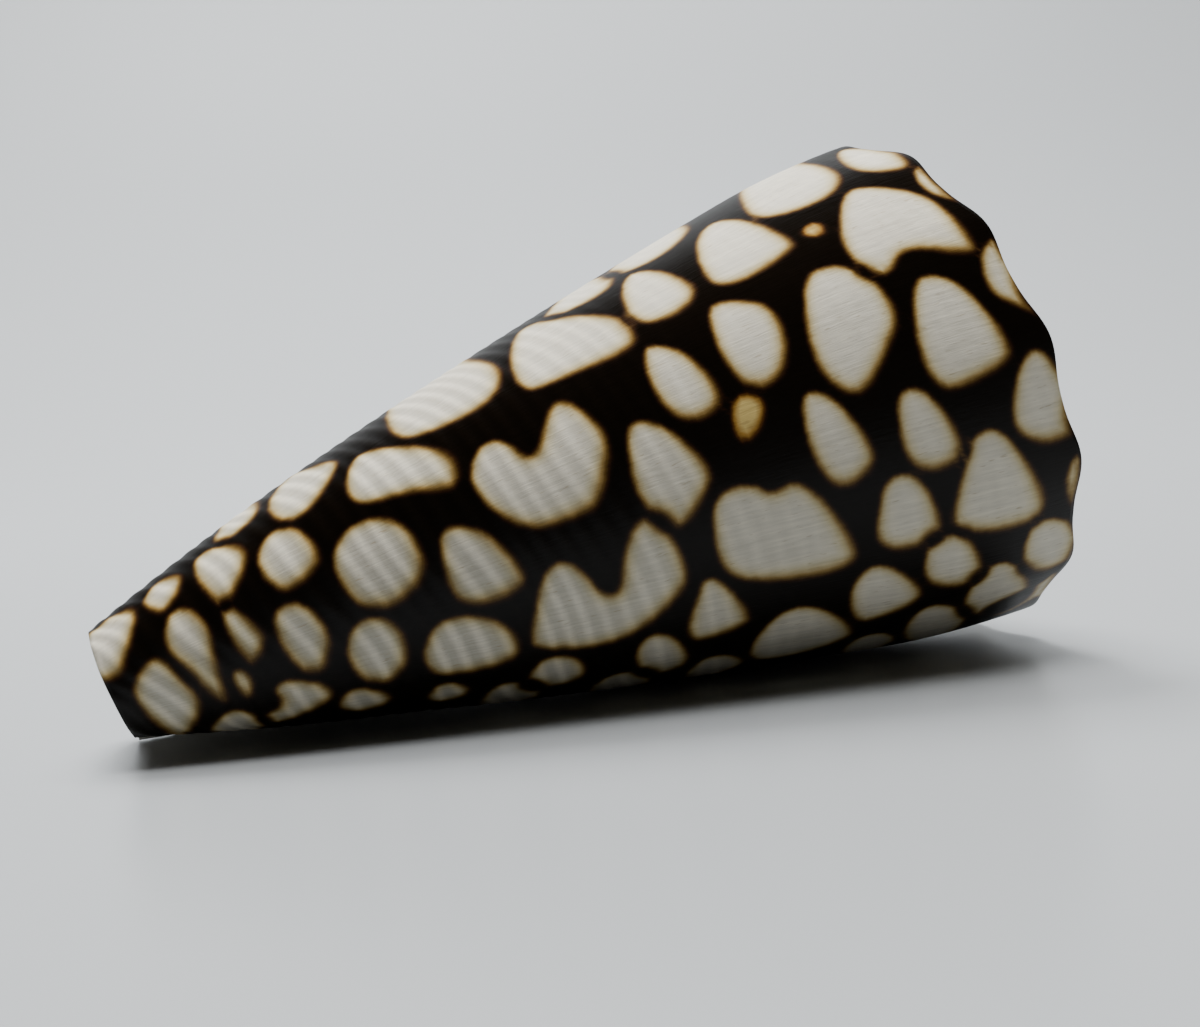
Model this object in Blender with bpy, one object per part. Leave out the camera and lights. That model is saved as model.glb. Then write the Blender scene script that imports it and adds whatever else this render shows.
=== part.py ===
"""Cone shell, grown as one piece: a spiral body, a low noduled spire and a narrow mouth.
Lengths below are in millimetres, the finished mesh is in metres, +Z is up."""
import math

import bpy
import bmesh
from mathutils import Matrix, Vector

MM = 0.001

# Size and growth of the spiral. A turn is one whole whorl, counted back from the lip.
BODY_LENGTH = 79.5        # siphon end to the shoulder at the lip
SPIRE_HEIGHT = 6.5        # shoulder at the lip to the apex
SPIRE_CURVE = 0.85        # below 1 the sides of the spire are hollow
LIP_RADIUS = 30.4         # shoulder radius at the lip
WHORL_GROWTH = 1.35       # radius gained in one turn
SPIRE_TURNS = 8           # whorls of the spire that show their ramp

# Side of the body whorl, as a share of the shoulder radius.
TIP_SHARE = 0.233         # at the siphon end
SIDE_SWELL = 0.20         # convexity of the side
SHOULDER_DROP = 0.045     # how far the side curves in again towards the crest
SHOULDER_FROM = 0.84      # where on the side that begins
TIP_GROWTH = 2.0          # extra growth at the siphon end in one turn
TIP_REACH = 0.10          # how far up the side that extra growth is felt
LIP_FLARE = 3.2           # outward flare of the lip towards the siphon end
FLARE_REACH = 0.30        # how far up the side the flare is felt
FLARE_TURNS = 0.22        # how far back from the lip the flare begins
END_SLANT = 1.6           # the siphon end reaches further opposite the lip by this much

# Nodules that crown the shoulder.
NODULES_PER_TURN = 13.5
NODULE_START = -0.15      # share of a nodule by which the lip misses a crest
NODULE_OUT = 0.9
NODULE_UP = 1.1
NODULE_REACH = 0.055      # share of the side over which they fade
NODULE_INWARD = 0.30      # share of the ramp over which they fade
NODULE_SHARPNESS = 1.3    # above 1 the nodules are narrower than the dips between them
NODULE_LEVEL = 0.35       # share of a nodule that is cut into the shoulder instead of added
FADE_POWER = 1.5

# Ramp between the shoulder and the whorl before it.
RAMP_SAG = 0.9
SUTURE_DROP = 1.3         # suture below the crest of the whorl before it
SUTURE_AT = 0.84          # where on the ramp the suture lies
SUTURE_GAP = 0.45         # how far outside the older crest the suture lies

# Shape of the lip, in degrees round the axis.
LIP_BOW = 4.0             # forward at the middle of the side
LIP_RETREAT = 3.0         # back at the siphon end
NOTCH_DEPTH = 7.0         # back on the ramp

# Mouth and the hollow behind it.
HOLLOW_TURNS = 0.60
HOLLOW_AHEAD = 0.030      # the cutter starts this far in front of the lip
LIP_WALL = 0.9
DEEP_WALL = 1.5
WALL_TURNS = 0.12         # how far behind the lip the wall is at its full thickness
THIN_END = 0.7            # wall at the siphon end, as a share of the wall elsewhere
THIN_REACH = 0.333        # how far up the side the wall stays thinner
RAMP_WALL = 1.3
ROOF_INSET = 0.4          # the roof of the hollow is this much nearer the axis than the ramp
ROOF_SWEEP = 0.5          # the roof follows this share of the step back on the ramp
ROOF_SHARES = (0.72, 0.45, 0.2)
PARIETAL_BITE = 0.25      # how far the hollow cuts into the whorl before it
BITE_TURNS = 0.5          # how far behind the lip that cut fades out
CLEAR_START = 0.006       # share of a turn behind the lip where the cutter leaves the whorl before
CLEAR_OUT = 0.8           # how far in front of the lip the cutter stands off that whorl
LEAST_RADIUS = 0.35       # the cutter never reaches the axis
BELOW_END = -0.07         # the cutter runs past the siphon end, as a share of the side
HOLLOW_TOP = 0.955        # highest point of the hollow, as a share of the side
HOLLOW_SPACING = 1.3      # above 1 the rows of the cutter crowd towards the shoulder

# How the shell lies: turned about its axis, then its spire end raised.
LIP_ANGLE = 133.2         # degrees from the top to the lip
LEAN = 11.9               # degrees from level to the axis

# Mesh density.
COLUMNS = 81              # round one turn
SIDE_ROWS = 15
SIDE_SPACING = 1.45       # above 1 the rows crowd towards the shoulder
RAMP_ROWS = (0.0, 0.38, SUTURE_AT, 1.0)
HOLLOW_COLUMNS = 24
HOLLOW_ROWS = 13
FOOT_DEPTH = 0.6          # middle point of the siphon end, as a share of the slant

FOOT_WEAR = 0.15           # depth of the worn flat that the shell lies on

SHELL_COLOUR = (0.62, 0.58, 0.52, 1.0)
SHELL_ROUGHNESS = 0.25


def shoulder_size(turn):
    """Shoulder radius as a share of the radius at the lip."""
    return WHORL_GROWTH ** turn


def shoulder_height(turn):
    return BODY_LENGTH + SPIRE_HEIGHT * (1.0 - shoulder_size(turn) ** SPIRE_CURVE)


def smooth(value):
    value = min(max(value, 0.0), 1.0)
    return value * value * (3.0 - 2.0 * value)


def nodule(turn):
    wave = 0.5 + 0.5 * math.cos(2.0 * math.pi * (NODULES_PER_TURN * turn + NODULE_START))
    return wave ** NODULE_SHARPNESS - NODULE_LEVEL


def end_height(turn):
    """Height of the siphon end: it reaches furthest opposite the lip."""
    return -END_SLANT * 0.5 * (1.0 - math.cos(2.0 * math.pi * min(max(turn, -1.0), 0.0)))


def side_point(turn, share):
    """Radius and height on the side; share runs from 0 at the siphon end to 1 at the crest."""
    size = shoulder_size(turn)
    up = max(share, 0.0)
    form = TIP_SHARE + (1.0 - TIP_SHARE) * (up + SIDE_SWELL * up * (1.0 - up))
    form -= SHOULDER_DROP * max((up - SHOULDER_FROM) / (1.0 - SHOULDER_FROM), 0.0) ** 2
    extra = TIP_GROWTH ** (turn * math.exp(-up / TIP_REACH))
    radius = LIP_RADIUS * size * form * extra
    radius += LIP_FLARE * math.exp(-(share / FLARE_REACH) ** 2) * smooth(1.0 + turn / FLARE_TURNS)
    low = end_height(turn)
    height = low + (shoulder_height(turn) - low) * share
    fade = math.exp(-(max(1.0 - share, 0.0) / NODULE_REACH) ** FADE_POWER)
    radius += size * NODULE_OUT * nodule(turn) * fade
    height += size * NODULE_UP * nodule(turn) * fade
    return radius, height


def ramp_point(turn, share):
    """Radius and height on the ramp; share runs from 0 at this crest to 1 at the one before."""
    if share >= 1.0:
        return side_point(turn - 1.0, 1.0)
    size = shoulder_size(turn)
    crest = LIP_RADIUS * (1.0 - SHOULDER_DROP)
    outer_radius = crest * size
    foot_radius = crest * shoulder_size(turn - 1.0) + SUTURE_GAP * size
    foot_height = shoulder_height(turn - 1.0) - SUTURE_DROP * size
    part = min(share / SUTURE_AT, 1.0)
    radius = outer_radius + (foot_radius - outer_radius) * part
    height = shoulder_height(turn) + (foot_height - shoulder_height(turn)) * part
    height -= RAMP_SAG * size * math.sin(math.pi * part)
    fade = math.exp(-(part / NODULE_INWARD) ** FADE_POWER)
    radius += size * NODULE_OUT * nodule(turn) * fade
    height += size * NODULE_UP * nodule(turn) * fade
    return radius, height


def lip_sweep(share):
    """The lip is bowed a little, in degrees round the axis."""
    bow = LIP_BOW * math.sin(math.pi * min(max(share, 0.0), 1.0))
    return bow - LIP_RETREAT * (1.0 - share) ** 2


def notch_sweep(share):
    """The lip steps back on the ramp."""
    return -NOTCH_DEPTH * math.sin(math.pi * share)


def place(radius, height, degrees):
    angle = math.radians(degrees)
    return Vector((height, radius * math.sin(angle), radius * math.cos(angle)))


def side_vertex(turn, share):
    radius, height = side_point(turn, share)
    return place(radius, height, 360.0 * turn + lip_sweep(share))


def ramp_vertex(turn, share):
    radius, height = ramp_point(turn, share)
    return place(radius, height, 360.0 * turn + notch_sweep(share))


def side_shares():
    return [1.0 - (1.0 - row / SIDE_ROWS) ** SIDE_SPACING for row in range(SIDE_ROWS + 1)]


def lace(bm, first, second):
    """Fill between two paths that start and end side by side, by the shorter diagonal each time."""
    i = 0
    j = 0
    while i < len(first) - 1 or j < len(second) - 1:
        step_first = i < len(first) - 1
        if step_first and j < len(second) - 1:
            ahead_first = (first[i + 1].co - second[j].co).length
            ahead_second = (second[j + 1].co - first[i].co).length
            step_first = ahead_first <= ahead_second
        if step_first:
            bm.faces.new((first[i], first[i + 1], second[j]))
            i += 1
        else:
            bm.faces.new((first[i], second[j + 1], second[j]))
            j += 1


def outer_body(name, collection):
    """The whole outside as one closed body, the mouth still filled in."""
    bm = bmesh.new()
    crest_count = COLUMNS * (SPIRE_TURNS + 1) + 1
    crest = [bm.verts.new(side_vertex(-i / COLUMNS, 1.0)) for i in range(crest_count)]
    shares = side_shares()
    side = []
    for i in range(COLUMNS + 1):
        column = [bm.verts.new(side_vertex(-i / COLUMNS, share)) for share in shares[:-1]]
        side.append(column + [crest[i]])
    ramp = []
    for i in range(COLUMNS * SPIRE_TURNS + 1):
        inner = [bm.verts.new(ramp_vertex(-i / COLUMNS, share)) for share in RAMP_ROWS[1:-1]]
        ramp.append([crest[i]] + inner + [crest[i + COLUMNS]])
    for grid in (side, ramp):
        for first, second in zip(grid, grid[1:]):
            for k in range(len(first) - 1):
                bm.faces.new((first[k], first[k + 1], second[k + 1], second[k]))
    # The step from the lip down to the whorl before it.
    lace(bm, side[0] + ramp[0][1:-1], side[COLUMNS])
    # The siphon end and the apex are closed round a middle point.
    foot = bm.verts.new((end_height(-0.5) * FOOT_DEPTH, 0.0, 0.0))
    ring = [column[0] for column in side]
    for first, second in zip(ring, ring[1:] + ring[:1]):
        bm.faces.new((foot, first, second))
    last = COLUMNS * SPIRE_TURNS
    apex = bm.verts.new((BODY_LENGTH + SPIRE_HEIGHT, 0.0, 0.0))
    ring = crest[last:] + ramp[last][1:-1][::-1]
    for first, second in zip(ring, ring[1:] + ring[:1]):
        bm.faces.new((apex, first, second))
    return finish(bm, name, collection)


def hollow_section(turn):
    """Closed section of the hollow at one turn, as points in the frame of the shell."""
    wall = LIP_WALL + (DEEP_WALL - LIP_WALL) * smooth(-turn / WALL_TURNS)
    ahead = (turn + CLEAR_START) / HOLLOW_AHEAD
    inside = -PARIETAL_BITE + CLEAR_OUT * max(ahead, 0.0)
    if ahead < 0.0:
        inside = -PARIETAL_BITE * smooth(1.0 + turn / BITE_TURNS)
    last = HOLLOW_ROWS - 2
    rows = [HOLLOW_TOP * (1.0 - (1.0 - k / last) ** HOLLOW_SPACING) for k in range(last + 1)]
    rows = [BELOW_END] + rows
    points = []
    for share in rows:
        radius, height = side_point(turn - 1.0, share)
        points.append((max(radius + inside, LEAST_RADIUS), height, lip_sweep(share)))
    for share in ROOF_SHARES:
        radius, height = ramp_point(turn, share)
        points.append((radius - ROOF_INSET, height - RAMP_WALL, notch_sweep(share) * ROOF_SWEEP))
    for share in rows[::-1]:
        radius, height = side_point(turn, share)
        thin = wall * (THIN_END + (1.0 - THIN_END) * smooth(share / THIN_REACH))
        points.append((radius - thin, height, lip_sweep(share)))
    return [place(r, h, 360.0 * turn + sweep) for r, h, sweep in points]


def hollow_cutter(name, collection):
    """The hollow as a closed body, swept back from just in front of the lip."""
    bm = bmesh.new()
    rings = []
    for k in range(HOLLOW_COLUMNS + 1):
        turn = HOLLOW_AHEAD - (HOLLOW_TURNS + HOLLOW_AHEAD) * k / HOLLOW_COLUMNS
        rings.append([bm.verts.new(point) for point in hollow_section(turn)])
    for first, second in zip(rings, rings[1:]):
        for k in range(len(first)):
            j = (k + 1) % len(first)
            bm.faces.new((first[k], first[j], second[j], second[k]))
    for ring in (rings[0], rings[-1]):
        inner = ring[:HOLLOW_ROWS]
        lace(bm, ring[HOLLOW_ROWS:][::-1], inner)
    return finish(bm, name, collection)


def finish(bm, name, collection):
    bmesh.ops.recalc_face_normals(bm, faces=bm.faces)
    mesh = bpy.data.meshes.new(name)
    bm.to_mesh(mesh)
    bm.free()
    obj = bpy.data.objects.new(name, mesh)
    collection.objects.link(obj)
    return obj


def lying_pose(obj):
    """Turn and lean the shell as it lies, its middle over the origin and its lowest point on it."""
    turn = Matrix.Rotation(math.radians(-LIP_ANGLE), 4, "X")
    lean = Matrix.Rotation(math.radians(-LEAN), 4, "Y")
    pose = lean @ turn
    points = [pose @ vertex.co for vertex in obj.data.vertices]
    low = [min(point[k] for point in points) for k in range(3)]
    high = [max(point[k] for point in points) for k in range(3)]
    down = -low[2] - FOOT_WEAR
    shift = Matrix.Translation((-(low[0] + high[0]) / 2, -(low[1] + high[1]) / 2, down))
    return Matrix.Scale(MM, 4) @ shift @ pose


def worn_foot(obj):
    """Flatten the line that the shell lies on, as handling wears it, so that it comes to rest."""
    for vertex in obj.data.vertices:
        vertex.co.z = max(vertex.co.z, 0.0)


def shell_material():
    material = bpy.data.materials.new("shell")
    material.use_nodes = True
    surface = material.node_tree.nodes["Principled BSDF"]
    surface.inputs["Base Color"].default_value = SHELL_COLOUR
    surface.inputs["Roughness"].default_value = SHELL_ROUGHNESS
    return material


def build():
    for obj in list(bpy.data.objects):
        bpy.data.objects.remove(obj, do_unlink=True)
    parts = bpy.data.collections.new("cone_shell")
    cutters = bpy.data.collections.new("cutters")
    for collection in (parts, cutters):
        bpy.context.scene.collection.children.link(collection)
    shell = outer_body("shell", parts)
    hollow = hollow_cutter("hollow_cutter", cutters)
    pose = lying_pose(shell)
    for obj in (shell, hollow):
        obj.data.transform(pose)
        for face in obj.data.polygons:
            face.use_smooth = True
    worn_foot(shell)
    hollow.hide_render = True
    hollow.display_type = "WIRE"
    shell.data.materials.append(shell_material())
    cut = shell.modifiers.new("mouth", "BOOLEAN")
    cut.operation = "DIFFERENCE"
    cut.solver = "EXACT"
    cut.object = hollow


build()
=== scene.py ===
# %% [markdown]
# # A marbled cone shell lying on its side
#
# This lesson dresses one natural thing: a cone shell, which grows as a single piece of hard
# porcelain. There is nothing to assemble, so the work goes into three questions: how the spiral
# form is laid out as a mesh, how white patches with brown edges get onto it, and how the glaze
# answers the light. The simple solid is loaded first, because it fixes the size and the place.

# %% Load the solid
import math
import bpy
import numpy as np
from mathutils import Matrix, Vector
from mathutils.bvhtree import BVHTree
from mathutils.interpolate import poly_3d_calc


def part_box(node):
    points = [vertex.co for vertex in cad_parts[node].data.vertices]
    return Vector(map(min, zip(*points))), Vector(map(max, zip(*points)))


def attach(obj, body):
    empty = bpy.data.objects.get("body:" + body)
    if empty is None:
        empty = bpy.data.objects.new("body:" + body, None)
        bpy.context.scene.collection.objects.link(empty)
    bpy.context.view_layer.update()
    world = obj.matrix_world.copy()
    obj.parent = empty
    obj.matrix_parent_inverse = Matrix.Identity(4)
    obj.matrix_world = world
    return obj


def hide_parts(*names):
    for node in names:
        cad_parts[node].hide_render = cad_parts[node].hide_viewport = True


MM = 0.001
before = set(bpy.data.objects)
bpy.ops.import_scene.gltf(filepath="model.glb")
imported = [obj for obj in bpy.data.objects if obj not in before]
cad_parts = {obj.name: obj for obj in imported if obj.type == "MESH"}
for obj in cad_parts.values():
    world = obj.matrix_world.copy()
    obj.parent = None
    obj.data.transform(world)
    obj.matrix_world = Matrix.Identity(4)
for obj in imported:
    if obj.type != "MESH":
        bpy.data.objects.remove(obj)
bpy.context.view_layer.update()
cad_low, cad_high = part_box("shell")
print("solid, mm:", [round((b - a) / MM, 1) for a, b in zip(cad_low, cad_high)])

# %% [markdown]
# ## The law of growth
#
# A snail adds a little to the open edge of its shell all the time, and every addition is a scaled
# copy of the last. So each point follows a spiral whose radius grows by the same factor in every
# turn. One could model a cone and carve lines into it, but then the whorls would never wind
# properly inside the mouth. Here a point is named by its turn, 0 at the lip and counted backwards,
# and by its share of the way up the side, and a few formulas say where it is.

# %% Sizes of the spiral, in millimetres
BODY_LENGTH = 79.5
SPIRE_HEIGHT = 6.5
SPIRE_CURVE = 0.85
LIP_RADIUS = 30.4
WHORL_GROWTH = 1.35
SPIRE_TURNS = 8
TIP_SHARE = 0.233
SIDE_SWELL = 0.20
SHOULDER_DROP = 0.045
SHOULDER_FROM = 0.84
TIP_GROWTH = 2.0
TIP_REACH = 0.10
LIP_FLARE = 3.2
FLARE_REACH = 0.30
FLARE_TURNS = 0.22
END_SLANT = 1.6
ROLL_FILL = 1.55
ROLL_REACH = 0.30
ROLL_POWER = 1.3
ROLL_FROM = 0.40
ROLL_OVER = 0.40
ROLL_LOSS = 0.75
ROLL_LOSS_OVER = 0.25
LIP_ANGLE = 133.2
LEAN = 11.9
print("whorls in the spire:", SPIRE_TURNS, " growth in a turn:", WHORL_GROWTH)

# %% Nodules, ramp and walls, in millimetres
NODULES_PER_TURN = 13.5
NODULE_START = -0.15
NODULE_SHARPNESS = 1.3
NODULE_BASE = 0.35
NODULE_OUT = 0.4
NODULE_UP = 0.8
NODULE_REACH = 0.055
NODULE_INWARD = 0.30
NODULE_FADE = 1.5
SHOULDER_LIFT = 0.8
LIFT_FROM = 0.50
LIFT_OVER = 0.22
LIFT_END = 1.05
LIFT_FADE = 0.12
RAMP_SAG = 0.9
SUTURE_DROP = 1.3
SUTURE_AT = 0.84
SUTURE_GAP = 0.45
HOLLOW_TURNS = 0.60
HOLLOW_TOP = 0.955
LIP_WALL = 0.9
DEEP_WALL = 1.5
RAMP_WALL = 1.3
LIP_BULGE_DEGREES = 4.0
LIP_BACK_DEGREES = 3.0
NOTCH_DEGREES = -7.0
print("nodules in a turn:", NODULES_PER_TURN, " wall at the lip, mm:", LIP_WALL)


# %% Where a point of the side or the ramp is
def smooth(value):
    value = np.clip(value, 0.0, 1.0)
    return value * value * (3.0 - 2.0 * value)


def whorl_size(turn):
    return WHORL_GROWTH ** np.asarray(turn, float)


def crest_height(turn):
    return BODY_LENGTH + SPIRE_HEIGHT * (1.0 - whorl_size(turn) ** SPIRE_CURVE)


def nodule(turn):
    wave = 0.5 + 0.5 * np.cos(2.0 * np.pi * (NODULES_PER_TURN * turn + NODULE_START))
    return wave ** NODULE_SHARPNESS - NODULE_BASE


def roll_fill(turn, share):
    """The narrow end is rolled: opposite the lip it is fuller than the spiral alone would be."""
    grows = smooth((-turn - ROLL_FROM) / ROLL_OVER)
    grows = grows * (1.0 - ROLL_LOSS * smooth((-turn - 1.0) / ROLL_LOSS_OVER))
    return ROLL_FILL * grows * np.maximum(1.0 - share / ROLL_REACH, 0.0) ** ROLL_POWER


def shoulder_lift(turn):
    """The shoulder stands a little taller half a turn behind the lip."""
    return smooth((-turn - LIFT_FROM) / LIFT_OVER) * smooth((LIFT_END + turn) / LIFT_FADE)


def side_curve(turn, share):
    """Radius and height on the side, from share 0 at the narrow end to 1 at the shoulder."""
    size = whorl_size(turn)
    form = TIP_SHARE + (1.0 - TIP_SHARE) * (share + SIDE_SWELL * share * (1.0 - share))
    rounding = np.maximum((share - SHOULDER_FROM) / (1.0 - SHOULDER_FROM), 0.0) ** 2
    form = form - SHOULDER_DROP * rounding
    radius = LIP_RADIUS * size * form * TIP_GROWTH ** (turn * np.exp(-share / TIP_REACH))
    radius = radius + LIP_FLARE * np.exp(-(share / FLARE_REACH) ** 2) * smooth(1.0 + turn / FLARE_TURNS)
    radius = radius + roll_fill(turn, share)
    low = -END_SLANT * 0.5 * (1.0 - np.cos(2.0 * np.pi * np.clip(turn, -1.0, 0.0)))
    height = low + (crest_height(turn) - low) * share
    fade = np.exp(-(np.maximum(1.0 - share, 0.0) / NODULE_REACH) ** NODULE_FADE)
    bump = size * nodule(turn) * fade
    height = height + SHOULDER_LIFT * shoulder_lift(turn) * fade
    return radius + NODULE_OUT * bump, height + NODULE_UP * bump


def ramp_curve(turn, share):
    """Radius and height on the ramp, from share 0 at this crest to 1 at the crest before it."""
    size = whorl_size(turn)
    crest = LIP_RADIUS * (1.0 - SHOULDER_DROP)
    foot_radius = crest * whorl_size(turn - 1.0) + SUTURE_GAP * size
    foot_height = crest_height(turn - 1.0) - SUTURE_DROP * size
    part = np.minimum(share / SUTURE_AT, 1.0)
    radius = crest * size + (foot_radius - crest * size) * part
    height = crest_height(turn) + (foot_height - crest_height(turn)) * part
    height = height - RAMP_SAG * size * np.sin(np.pi * part)
    fade = np.exp(-(part / NODULE_INWARD) ** NODULE_FADE)
    bump = size * nodule(turn) * fade
    radius = radius + NODULE_OUT * bump
    height = height + NODULE_UP * bump
    height = height + SHOULDER_LIFT * shoulder_lift(turn) * fade
    older_radius, older_height = side_curve(turn - 1.0, 1.0)
    climb = np.clip((share - SUTURE_AT) / (1.0 - SUTURE_AT), 0.0, 1.0)
    radius = radius + (older_radius - radius) * climb
    height = height + (older_height - height) * climb
    return radius, height


def lip_sweep(share):
    return LIP_BULGE_DEGREES * np.sin(np.pi * share) - LIP_BACK_DEGREES * (1.0 - share) ** 2


def notch_sweep(share):
    return NOTCH_DEGREES * np.sin(np.pi * share)


print("shoulder at the lip:", [round(float(v), 2) for v in side_curve(0.0, 1.0)])

# %% [markdown]
# ## Spiral cords
#
# The narrow half of the real shell carries low spiral cords, coarse at the very end and finer and
# fainter towards the shoulder. They could be bump in the material, but at a low light they show in
# the outline and in every reflection, so they are part of the form. A cord's place is a running
# count along the side: whole numbers are crests, halves are grooves.

# %% Where the cords run and how high they stand
CORD_PITCH_TIP = 1.85
CORD_PITCH_MIDDLE = 1.75
CORD_PITCH_CHANGE = 26.0
CORD_HEIGHT_TIP = 0.10
CORD_HEIGHT_MIDDLE = 0.055
CORD_HEIGHT_SHOULDER = 0.012
CORD_SLANT = 11.5
CORD_TIP_REACH = 0.16
CORD_END = 0.42
CORD_END_OVER = 0.30
WANDER_BY_TURN = 0.16
WANDER_BY_CORD = 0.12
MIDDLE_TURN = -0.5
share_steps = np.linspace(0.0, 1.0, 801)
profile_radius, profile_height = side_curve(MIDDLE_TURN, share_steps)
profile_steps = np.hypot(np.diff(profile_radius), np.diff(profile_height))
profile_length = np.concatenate([[0.0], np.cumsum(profile_steps)])
pitch_steps = CORD_PITCH_MIDDLE + (CORD_PITCH_TIP - CORD_PITCH_MIDDLE) * np.exp(
    -profile_length / CORD_PITCH_CHANGE)
cord_count = np.concatenate([[0.0], np.cumsum(np.diff(profile_length) / pitch_steps[1:])])


def cord_ridge(turn, share):
    """1 on a cord, 0 in a groove, with a slow wander so that no two cords are alike."""
    count = np.interp(share, share_steps, cord_count)
    wander = WANDER_BY_TURN * np.sin(31.0 * turn) + WANDER_BY_CORD * np.sin(0.9 * count)
    return 0.5 + 0.5 * np.cos(2.0 * np.pi * (count + CORD_SLANT * turn + wander))


def cord_height(share):
    tip_extra = (CORD_HEIGHT_TIP - CORD_HEIGHT_MIDDLE) * np.exp(-share / CORD_TIP_REACH)
    tall = CORD_HEIGHT_MIDDLE + tip_extra
    return CORD_HEIGHT_SHOULDER + tall * (1.0 - smooth((share - CORD_END) / CORD_END_OVER))


print("cords on the side:", round(float(cord_count[-1]), 1))

# %% [markdown]
# ## Sheets of quads
#
# A spiral shell could be swept along a curve, but a sweep can't change its profile the way the
# narrow end does. A flat grid can be bent onto any formula, so every surface here starts as a
# primitive grid: its columns become turns and its rows become shares. The rows are denser where
# the cords are, because a ridge needs about five rows to look round.

# %% Rows and columns
COLUMNS = 300
CORD_ROWS = 150
UPPER_ROWS = 38
CREST_ROWS = 14
CORDS_UP_TO = 0.62
CREST_FROM = 0.93
side_shares = np.concatenate([
    np.linspace(0.0, CORDS_UP_TO, CORD_ROWS + 1)[:-1],
    np.linspace(CORDS_UP_TO, CREST_FROM, UPPER_ROWS + 1)[:-1],
    np.linspace(CREST_FROM, 1.0, CREST_ROWS + 1),
])
top_row = int(np.argmin(np.abs(side_shares - HOLLOW_TOP)))
ramp_shares = np.array([0.0, 0.05, 0.11, 0.19, 0.29, 0.41, 0.54, 0.66, 0.77, SUTURE_AT, 1.0])
HOLLOW_COLUMNS = 48
HOLLOW_ROWS = 56
LIP_CROWDING = 1.3
hollow_turns = -HOLLOW_TURNS * np.linspace(0.0, 1.0, HOLLOW_COLUMNS + 1) ** LIP_CROWDING
hollow_shares = np.linspace(0.0, 1.0, HOLLOW_ROWS + 1) * side_shares[top_row]
print("side rows:", len(side_shares), " the hollow closes at share", round(float(side_shares[top_row]), 3))


# %% Lay the shell down as it rests
def posed(radius, height, degrees):
    """Points of the shell, turned to its resting pose, in millimetres."""
    angle = np.radians(degrees + LIP_ANGLE)
    x = height
    y = radius * np.sin(angle)
    z = radius * np.cos(angle)
    lean = math.radians(LEAN)
    return np.stack([
        x * math.cos(lean) - z * math.sin(lean),
        y + 0.0 * x,
        x * math.sin(lean) + z * math.cos(lean),
    ], axis=-1)


def side_points(turn, share):
    radius, height = side_curve(turn, share)
    radius = radius + cord_height(share) * (cord_ridge(turn, share) - 0.5)
    return posed(radius, height, 360.0 * turn + lip_sweep(share))


def ramp_points(turn, share):
    radius, height = ramp_curve(turn, share)
    return posed(radius, height, 360.0 * turn + notch_sweep(share))


side_turns = -np.arange(COLUMNS + 1) / COLUMNS
ramp_turns = -np.arange(COLUMNS * SPIRE_TURNS + 1) / COLUMNS
outer_grid = side_points(side_turns[:, None], side_shares[None, :])
ramp_grid = ramp_points(ramp_turns[:, None], ramp_shares[None, :])
every_point = np.concatenate([outer_grid.reshape(-1, 3), ramp_grid.reshape(-1, 3)])
low = every_point.min(axis=0)
high = every_point.max(axis=0)
cad_middle = (np.array(cad_low) + np.array(cad_high)) / 2.0 / MM
resting_shift = cad_middle - (low + high) / 2.0
resting_shift[2] = cad_low[2] / MM - low[2]
outer_grid = outer_grid + resting_shift
ramp_grid = ramp_grid + resting_shift
# The first row of the ramp is the last row of the side, so the seam between them closes.
ramp_grid[:COLUMNS + 1, 0] = outer_grid[:, -1]
print("dressed shell, mm:", np.round(high - low, 1))

# %% [markdown]
# ## Measuring along the surface
#
# The markings are laid out on the shell as on a strip of paper: one direction is the turn, the
# other is the distance along the side, which runs on over the shoulder and down the ramp. A patch
# drawn on that strip keeps its size and follows the growth of the shell, which an image wrapped
# round a cone wouldn't do.

# %% Distances on the strip
SIDE_LENGTH = float(profile_length[-1])
MEAN_SIZE = 0.87
ramp_steps = np.linspace(0.0, 1.0, 101)
ramp_radius, ramp_height = ramp_curve(MIDDLE_TURN, ramp_steps)
ramp_run = np.concatenate([[0.0], np.cumsum(np.hypot(np.diff(ramp_radius), np.diff(ramp_height)))])
ramp_run = ramp_run / whorl_size(MIDDLE_TURN)


def side_along(turn, share):
    return np.interp(share, share_steps, profile_length) + 0.0 * turn


def ramp_along(turn, share):
    return SIDE_LENGTH + np.interp(share, ramp_steps, ramp_run) * whorl_size(turn)


ramp_widths = np.interp(ramp_shares[1:], ramp_steps, ramp_run) * MEAN_SIZE
strip_along = np.concatenate([side_along(0.0, side_shares), SIDE_LENGTH + ramp_widths])
strip_points = np.concatenate([outer_grid, ramp_grid[:COLUMNS + 1, 1:]], axis=1)
strip_radius = np.concatenate([
    side_curve(side_turns[:, None], side_shares[None, :])[0],
    ramp_curve(side_turns[:, None], ramp_shares[None, 1:])[0]], axis=1)
print("side", round(SIDE_LENGTH, 1), "mm long, ramp", round(float(ramp_run[-1]), 1), "mm wide at the lip")

# %% [markdown]
# ## The camera
#
# The camera comes before the markings, because it is also used to carry their outlines onto the
# shell. It stands about 16 cm away, beside the narrow end, looking slightly down, with a normal
# lens. A closer camera with a wide lens would make the narrow end swell.

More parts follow.
